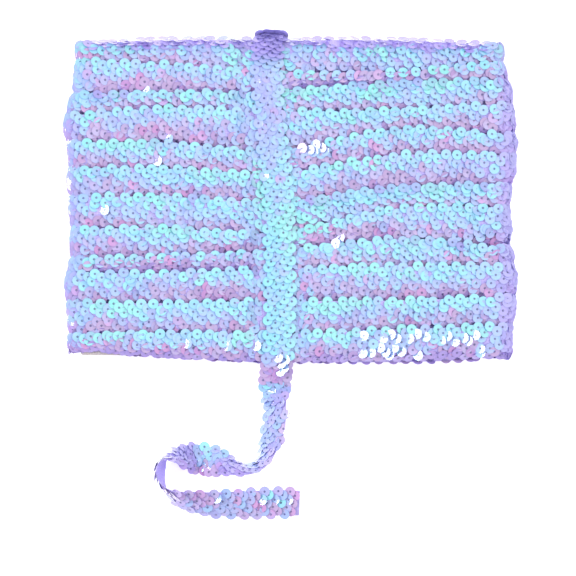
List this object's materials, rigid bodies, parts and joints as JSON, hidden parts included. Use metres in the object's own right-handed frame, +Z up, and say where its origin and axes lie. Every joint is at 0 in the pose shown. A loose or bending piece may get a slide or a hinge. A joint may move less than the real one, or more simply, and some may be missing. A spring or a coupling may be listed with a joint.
{
  "type": "sequin trim wound on a card",
  "caption": "Iridescent sequin trim wound in overlapping turns round a flat card, with its last length strapped across the middle and curling loose beyond the card's foot.",
  "frame": {"origin": "on the table under the middle of the whole, loose end included", "axes": "+Z up from the table through the front of the card, +Y towards the card's head, away from the loose end, +X to the right"},
  "size_m": [0.2518, 0.274, 0.0194],
  "materials": {
    "sequin_trim": "overlapping iridescent plastic sequins, pearly",
    "greyboard": "uncoated board, matt"
  },
  "bodies": {
    "root": {"card": "greyboard", "wound_trim": "sequin_trim", "loose_end": "sequin_trim"}
  },
  "joints": []
}
